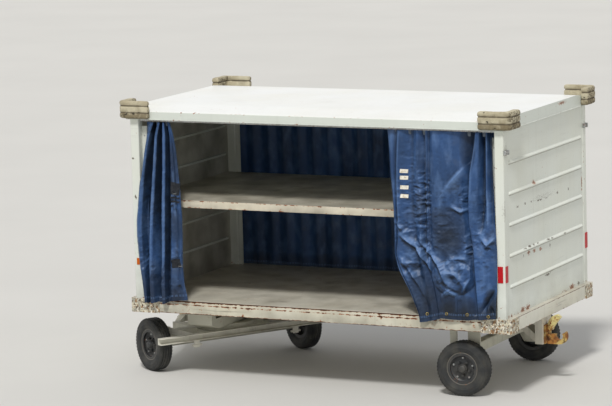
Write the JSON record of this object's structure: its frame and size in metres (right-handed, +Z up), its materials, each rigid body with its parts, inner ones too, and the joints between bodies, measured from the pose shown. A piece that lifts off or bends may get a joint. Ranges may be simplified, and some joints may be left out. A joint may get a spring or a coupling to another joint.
{
  "type": "covered airport baggage cart",
  "caption": "Covered baggage trailer with a roof, mid shelf, side curtains, steered front axle, raised drawbar and rear pintle hook.",
  "frame": {"origin": "on the ground, below the middle of the whole cart's box", "axes": "+X towards the rear end with the pintle hook, +Y towards the side with the closed curtains, +Z up"},
  "size_m": [3.4925, 1.7768, 2.135],
  "materials": {
    "white_paint": "weathered gloss enamel, dirty along the edges",
    "chipped_paint": "heavily chipped and rusting enamel",
    "grey_paint": "worn and scuffed enamel",
    "running_gear_paint": "dirty enamel with road film",
    "navy_curtain": "coated woven fabric with a soft sheen",
    "galvanised_steel": "dull zinc",
    "bumper_rubber": "dusty and scuffed",
    "amber_lens": "prismatic lens",
    "red_lens": "prismatic lens",
    "rusty_iron": "rusted",
    "yellow_paint": "chipped yellow enamel",
    "tyre_rubber": "dusty rubber",
    "black_steel": "worn black enamel"
  },
  "bodies": {
    "chassis": {"side_rail_near": "chipped_paint", "side_rail_far": "chipped_paint", "end_rail_front": "chipped_paint", "end_rail_rear": "chipped_paint", "corner_guards": "chipped_paint", "deck": "grey_paint", "cross_members": "grey_paint", "stringers": "grey_paint", "post_front_near": "white_paint", "post_front_far": "white_paint", "post_rear_near": "white_paint", "post_rear_far": "white_paint", "end_panel_front": "white_paint", "end_panel_rear": "white_paint", "shelf": "grey_paint", "roof_frame": "white_paint", "roof": "white_paint", "curtain_tracks": "galvanised_steel", "roof_bumpers": "bumper_rubber", "curtain_near_front": "navy_curtain", "curtain_near_rear": "navy_curtain", "curtain_far_front": "navy_curtain", "curtain_far_rear": "navy_curtain", "amber_reflectors": "amber_lens", "red_reflectors": "red_lens", "rear_hangers": "running_gear_paint", "rear_cross_tube": "running_gear_paint", "rear_axle": "running_gear_paint", "turntable_bolster": "running_gear_paint", "hitch_post": "running_gear_paint", "hitch_brace": "running_gear_paint", "pintle_hook": "rusty_iron"},
    "turntable": {"steer_frame": "running_gear_paint", "front_axle": "running_gear_paint", "brake_bar": "running_gear_paint"},
    "drawbar": {"drawbar": "yellow_paint"},
    "pintle_jaw": {"pintle_jaw": "yellow_paint"},
    "wheel_front_near": {"tyre_front_near": "tyre_rubber", "wheel_front_near": "black_steel"},
    "wheel_front_far": {"tyre_front_far": "tyre_rubber", "wheel_front_far": "black_steel"},
    "wheel_rear_near": {"tyre_rear_near": "tyre_rubber", "wheel_rear_near": "black_steel"},
    "wheel_rear_far": {"tyre_rear_far": "tyre_rubber", "wheel_rear_far": "black_steel"}
  },
  "joints": [
    {"name": "steer", "type": "hinge", "parent": "chassis", "child": "turntable", "pos_m": [-1.0895, 0, 0.3], "axis": [0, 0, 1], "range_deg": [-13, 77]},
    {"name": "drawbar_fold", "type": "hinge", "parent": "turntable", "child": "drawbar", "pos_m": [-1.69956, 0.38239, 0.22], "axis": [-0.5311, -0.8473, 0], "range_deg": [0, 97]},
    {"name": "jaw_latch", "type": "hinge", "parent": "chassis", "child": "pintle_jaw", "pos_m": [1.614, 0, 0.402], "axis": [0, 1, 0], "range_deg": [0, 52]},
    {"name": "spin_front_near", "type": "hinge", "parent": "turntable", "child": "wheel_front_near", "pos_m": [-1.45277, -0.57956, 0.205], "axis": [0.5311, 0.8473, 0], "continuous": true},
    {"name": "spin_front_far", "type": "hinge", "parent": "turntable", "child": "wheel_front_far", "pos_m": [-0.72623, 0.57956, 0.205], "axis": [0.5311, 0.8473, 0], "continuous": true},
    {"name": "spin_rear_near", "type": "hinge", "parent": "chassis", "child": "wheel_rear_near", "pos_m": [1.198, -0.695, 0.205], "axis": [0, 1, 0], "continuous": true},
    {"name": "spin_rear_far", "type": "hinge", "parent": "chassis", "child": "wheel_rear_far", "pos_m": [1.198, 0.695, 0.205], "axis": [0, 1, 0], "continuous": true}
  ]
}
